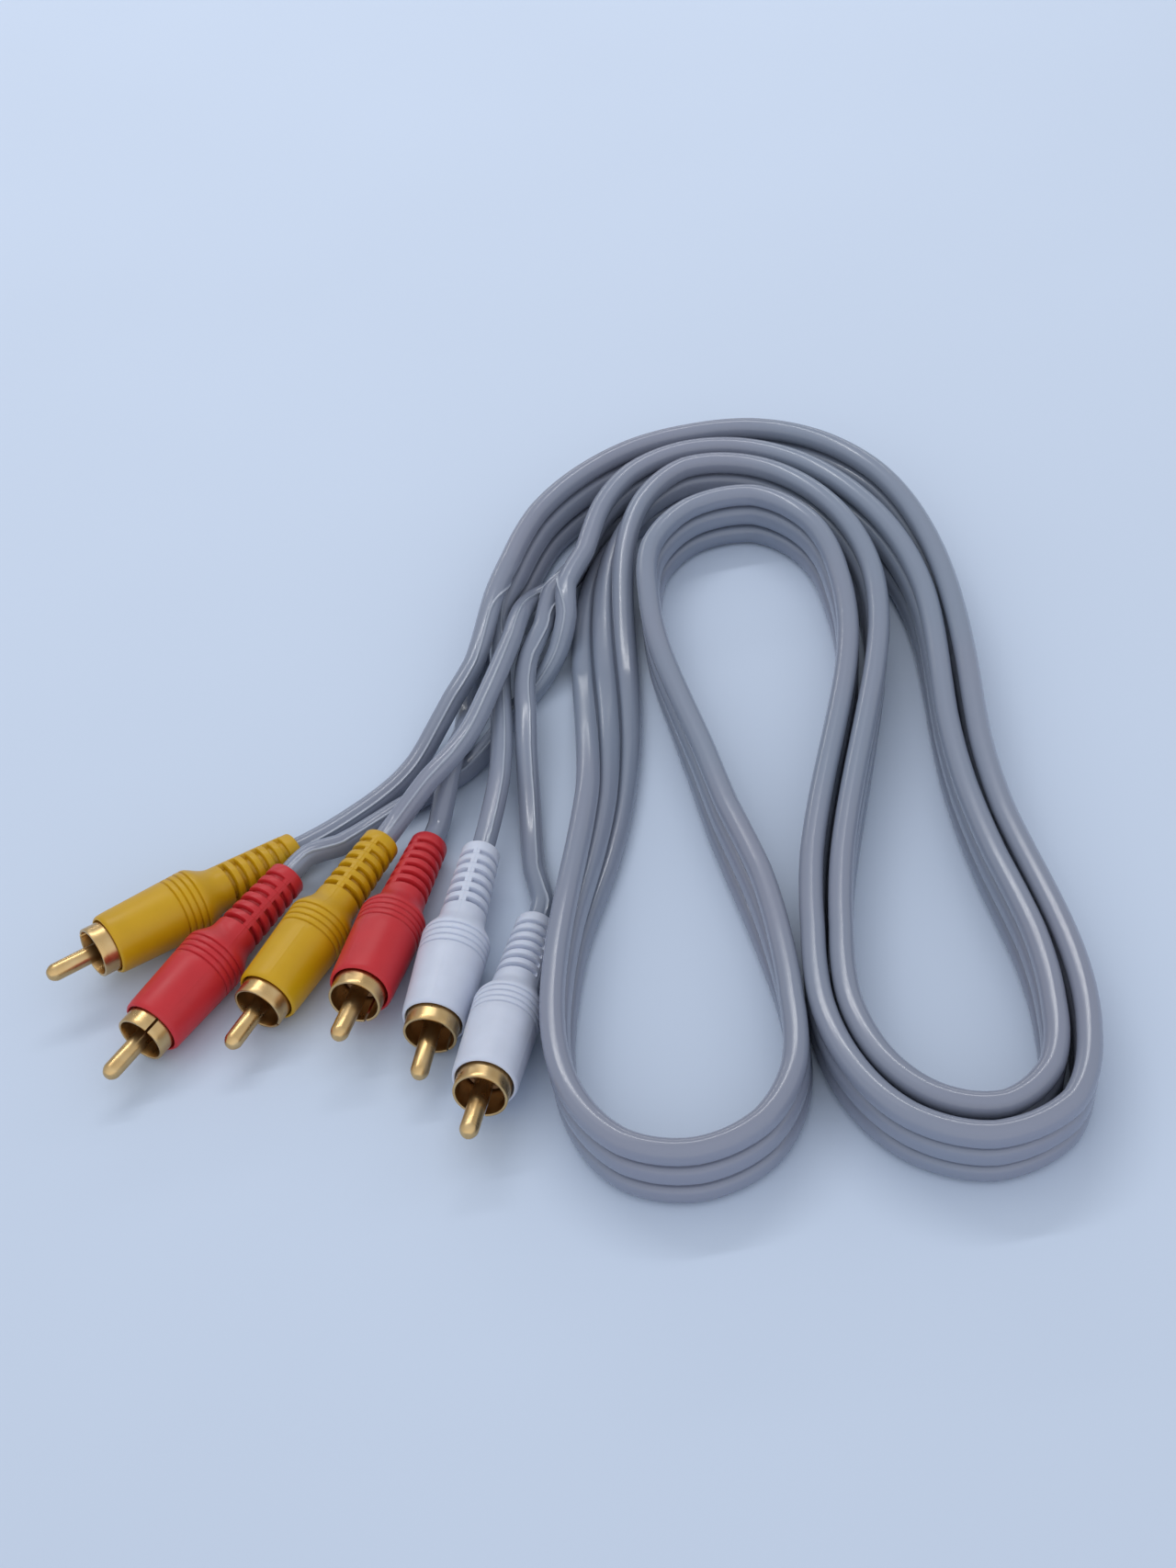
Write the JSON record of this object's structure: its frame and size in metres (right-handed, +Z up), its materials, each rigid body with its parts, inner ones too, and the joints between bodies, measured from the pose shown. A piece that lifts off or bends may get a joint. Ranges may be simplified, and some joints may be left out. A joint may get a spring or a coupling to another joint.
{
  "type": "audio cable",
  "caption": "Grey ribbon audio and video cable lying in loops, split at its ends into single cords with yellow, red and white gold-plated phono plugs.",
  "frame": {"origin": "on the table the cable lies on, under the middle of the box round the plugs", "axes": "+Z up from the table; +Y away from the plugs' tips, towards the loops' far end; +X from the outer yellow plug towards the loops"},
  "size_m": [0.1765, 0.1987, 0.0136],
  "materials": {
    "yellow_moulding": "satin",
    "red_moulding": "satin",
    "white_moulding": "satin",
    "gold_plate": "polished",
    "insulator": "matte",
    "grey_cord": "satin"
  },
  "bodies": {
    "root": {"yellow_plug_a_housing": "yellow_moulding", "yellow_plug_a_shell": "gold_plate", "yellow_plug_a_insulator": "insulator", "yellow_plug_a_pin": "gold_plate", "white_plug_a_housing": "white_moulding", "white_plug_a_shell": "gold_plate", "white_plug_a_insulator": "insulator", "white_plug_a_pin": "gold_plate", "red_plug_a_housing": "red_moulding", "red_plug_a_shell": "gold_plate", "red_plug_a_insulator": "insulator", "red_plug_a_pin": "gold_plate", "yellow_plug_b_housing": "yellow_moulding", "yellow_plug_b_shell": "gold_plate", "yellow_plug_b_insulator": "insulator", "yellow_plug_b_pin": "gold_plate", "white_plug_b_housing": "white_moulding", "white_plug_b_shell": "gold_plate", "white_plug_b_insulator": "insulator", "white_plug_b_pin": "gold_plate", "red_plug_b_housing": "red_moulding", "red_plug_b_shell": "gold_plate", "red_plug_b_insulator": "insulator", "red_plug_b_pin": "gold_plate", "video_cord": "grey_cord", "left_audio_cord": "grey_cord", "right_audio_cord": "grey_cord"}
  },
  "joints": []
}
